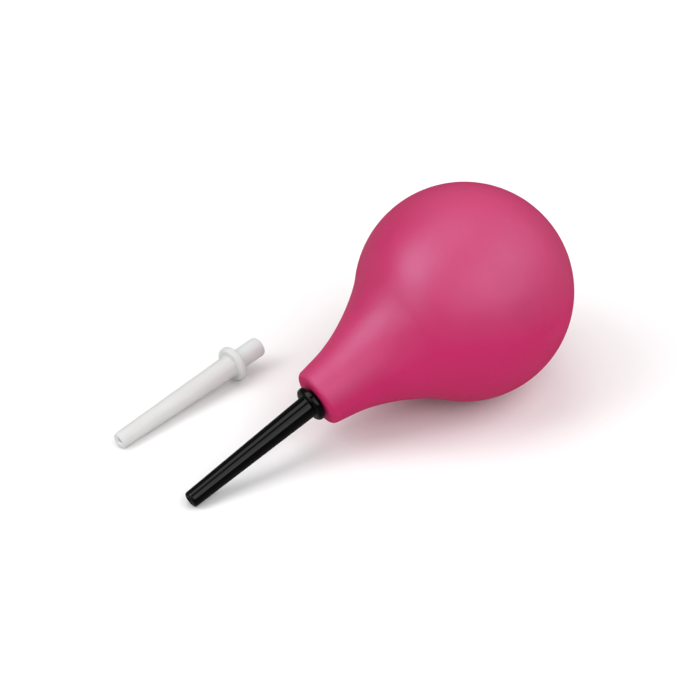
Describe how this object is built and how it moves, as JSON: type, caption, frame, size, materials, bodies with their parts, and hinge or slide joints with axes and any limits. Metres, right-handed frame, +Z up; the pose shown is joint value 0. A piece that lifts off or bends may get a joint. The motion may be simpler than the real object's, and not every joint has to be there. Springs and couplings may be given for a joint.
{
  "type": "dust blower bulb",
  "caption": "Pear-shaped rubber squeeze bulb with a tapered nozzle pushed into its neck, lying on a table beside a loose spare nozzle.",
  "frame": {"origin": "on the table, under the middle of the whole set", "axes": "+Z up from the table; the bulb's neck and its fitted nozzle point towards -X; the spare nozzle lies on the +Y side"},
  "size_m": [0.1618, 0.094, 0.078],
  "materials": {
    "bulb_rubber": "satin magenta-pink soft rubber, seamless",
    "black_plastic": "glossy black moulded plastic",
    "white_plastic": "satin white moulded plastic"
  },
  "bodies": {
    "bulb_wall": {"bulb": "bulb_rubber"},
    "crown": {"bulb_crown": "bulb_rubber"},
    "fitted_nozzle": {"nozzle": "black_plastic"},
    "loose_nozzle": {"spare_nozzle": "white_plastic"}
  },
  "joints": [
    {"name": "crown_press", "type": "slide", "parent": "bulb_wall", "child": "crown", "axis": [-0.9566, 0, -0.2913], "range_m": [0, 0.015], "stiffness_N_per_m": 1200},
    {"name": "nozzle_pull", "type": "slide", "parent": "bulb_wall", "child": "fitted_nozzle", "axis": [-0.9549, -0.0584, -0.2913], "range_m": [0, 0.016]},
    {"name": "spare_lift", "type": "slide", "parent": "bulb_wall", "child": "loose_nozzle", "axis": [0, 0, 1], "range_m": [0, 0.05]}
  ]
}
